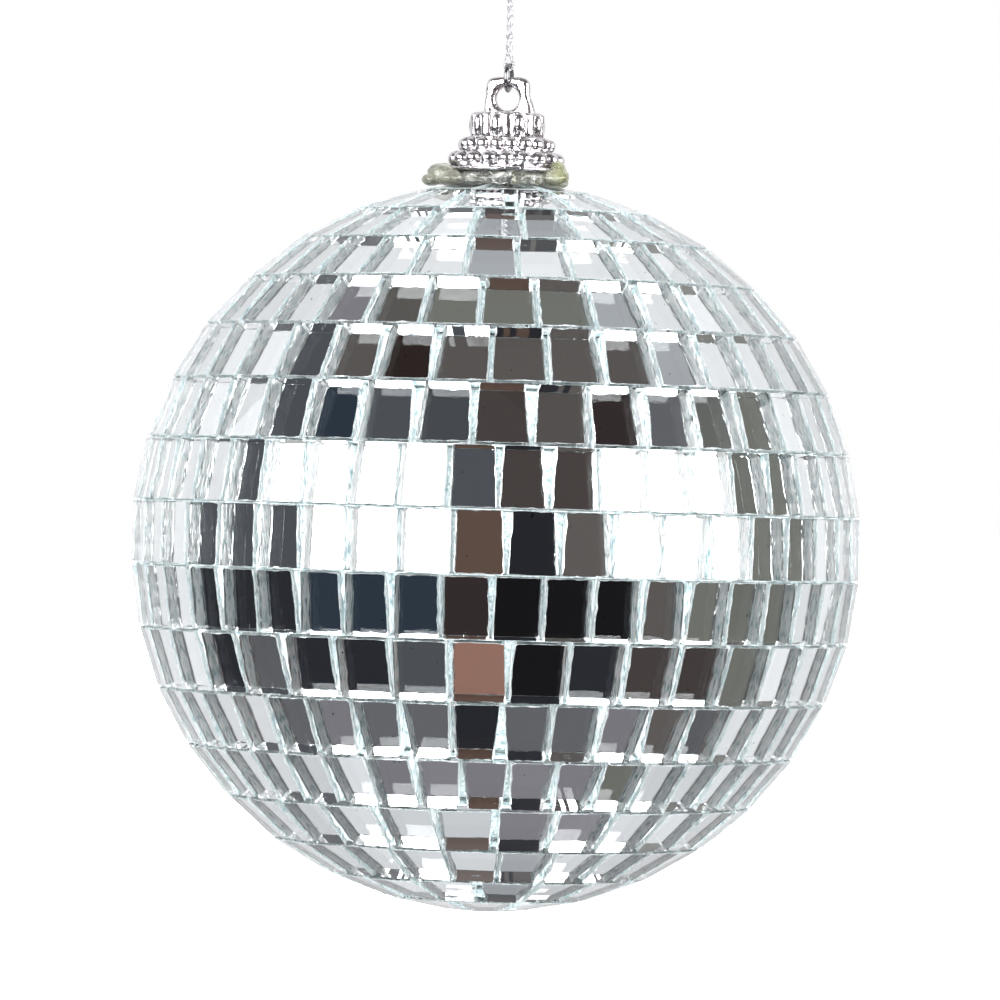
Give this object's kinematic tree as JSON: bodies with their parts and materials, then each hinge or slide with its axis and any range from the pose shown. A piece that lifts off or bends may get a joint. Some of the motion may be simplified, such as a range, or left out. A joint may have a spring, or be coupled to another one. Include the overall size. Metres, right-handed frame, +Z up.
{
  "type": "mirror ball",
  "caption": "Small hanging mirror ball: flat glass mirror tiles in rings on a foam core, a chromed crown cap with an eye, a wire ring and a twisted silver thread with a hanging loop.",
  "frame": {"origin": "inside top of the hanging loop, where the hook that holds the ball takes the load", "axes": "+Z up along the thread and the ball's axis; +X to the right and -Y towards the viewer; the cap's eye is bored along Y and the jump ring stands in the YZ plane"},
  "size_m": [0.0798, 0.0798, 0.1323],
  "materials": {
    "mirror_glass": "polished",
    "chromed_plastic": "polished",
    "steel_wire": "satin",
    "silver_thread": "satin",
    "hot_melt_glue": "satin",
    "white_foam": "matte"
  },
  "bodies": {
    "hanger": {"hanging_loop": "silver_thread", "thread_knot": "silver_thread", "hanging_thread": "silver_thread"},
    "bight": {"thread_bight": "silver_thread"},
    "ring": {"jump_ring": "steel_wire"},
    "ball": {"foam_core": "white_foam", "tile_strip_01": "mirror_glass", "tile_strip_02": "mirror_glass", "tile_strip_03": "mirror_glass", "tile_strip_04": "mirror_glass", "tile_strip_05": "mirror_glass", "tile_strip_06": "mirror_glass", "tile_strip_07": "mirror_glass", "tile_strip_08": "mirror_glass", "tile_strip_09": "mirror_glass", "tile_strip_10": "mirror_glass", "tile_strip_11": "mirror_glass", "tile_strip_12": "mirror_glass", "tile_strip_13": "mirror_glass", "tile_strip_14": "mirror_glass", "tile_strip_15": "mirror_glass", "tile_strip_16": "mirror_glass", "tile_strip_17": "mirror_glass", "bottom_tile": "mirror_glass", "hot_melt_glue": "hot_melt_glue", "cap": "chromed_plastic"}
  },
  "joints": [
    {"name": "ball_spin", "type": "hinge", "parent": "hanger", "child": "bight", "pos_m": [0, 0, -0.0371], "axis": [0, 0, 1], "continuous": true},
    {"name": "ring_tilt", "type": "hinge", "parent": "bight", "child": "ring", "pos_m": [0, 0, -0.0393], "axis": [0, 1, 0], "range_deg": [-80, 80]},
    {"name": "ball_swing", "type": "hinge", "parent": "ring", "child": "ball", "pos_m": [0, 0, -0.04112], "axis": [1, 0, 0], "range_deg": [-90, 90]}
  ]
}
